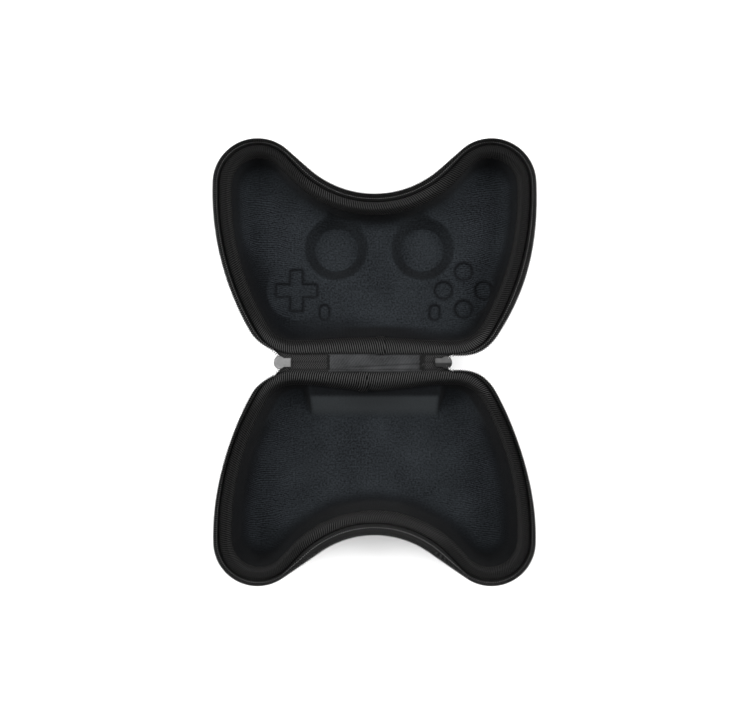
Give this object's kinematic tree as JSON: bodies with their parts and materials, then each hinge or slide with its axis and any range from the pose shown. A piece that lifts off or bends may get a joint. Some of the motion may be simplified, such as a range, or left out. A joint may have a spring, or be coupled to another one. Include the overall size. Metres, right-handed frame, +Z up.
{
  "type": "game controller carrying case",
  "caption": "Zip-up moulded hard case in the outline of a game pad, lying wide open, with pressed shapes in the lid and a lined hollow base.",
  "frame": {"origin": "on the table, below the middle of the hinge, at the centre of the open case's outline", "axes": "+X along the hinge to the right, +Y from the hinge to the lid's front, +Z up out of both open halves"},
  "size_m": [0.1856, 0.2576, 0.0366],
  "materials": {
    "shell_cloth": "black woven cloth moulded over foam",
    "knitted_lining": "dark blue-grey knitted lining with fine ribs",
    "ribbed_binding": "black ribbed binding tape",
    "zipper_tape": "black woven zipper tape",
    "zipper_coil": "black nylon coil",
    "hinge_twill": "dark grey diagonal twill",
    "thread": "black sewing thread",
    "slider_metal": "grey plated cast metal, softly polished"
  },
  "bodies": {
    "base": {"base_shell": "shell_cloth", "base_lining": "knitted_lining", "base_binding": "ribbed_binding", "base_zipper_tape": "zipper_tape", "base_coil": "zipper_coil"},
    "spine": {"hinge_cloth": "hinge_twill", "closed_tape_left": "zipper_tape", "closed_tape_right": "zipper_tape", "closed_coil_left": "zipper_coil", "closed_coil_right": "zipper_coil", "tack_left": "thread", "tack_right": "thread", "slider_left": "slider_metal", "slider_right": "slider_metal"},
    "lid": {"lid_shell": "shell_cloth", "lid_lining": "knitted_lining", "lid_binding": "ribbed_binding", "lid_zipper_tape": "zipper_tape", "lid_coil": "zipper_coil"},
    "pull_left": {"pull_left": "slider_metal"},
    "pull_right": {"pull_right": "slider_metal"}
  },
  "joints": [
    {"name": "spine_fold", "type": "hinge", "parent": "base", "child": "spine", "pos_m": [0, -0.0048, 0.0322], "axis": [1, 0, 0], "range_deg": [0, 90]},
    {"name": "lid_fold", "type": "hinge", "parent": "spine", "child": "lid", "pos_m": [0, 0.0048, 0.0322], "axis": [1, 0, 0], "range_deg": [0, 90]},
    {"name": "pull_left_swing", "type": "hinge", "parent": "spine", "child": "pull_left", "pos_m": [-0.05335, 0, 0.02785], "axis": [0, 1, 0], "range_deg": [-80, 80]},
    {"name": "pull_right_swing", "type": "hinge", "parent": "spine", "child": "pull_right", "pos_m": [0.03995, 0, 0.02785], "axis": [0, 1, 0], "range_deg": [-80, 80]}
  ],
  "couplings": [
    {"joint": "spine_fold", "follows": "lid_fold", "ratio": 1}
  ]
}
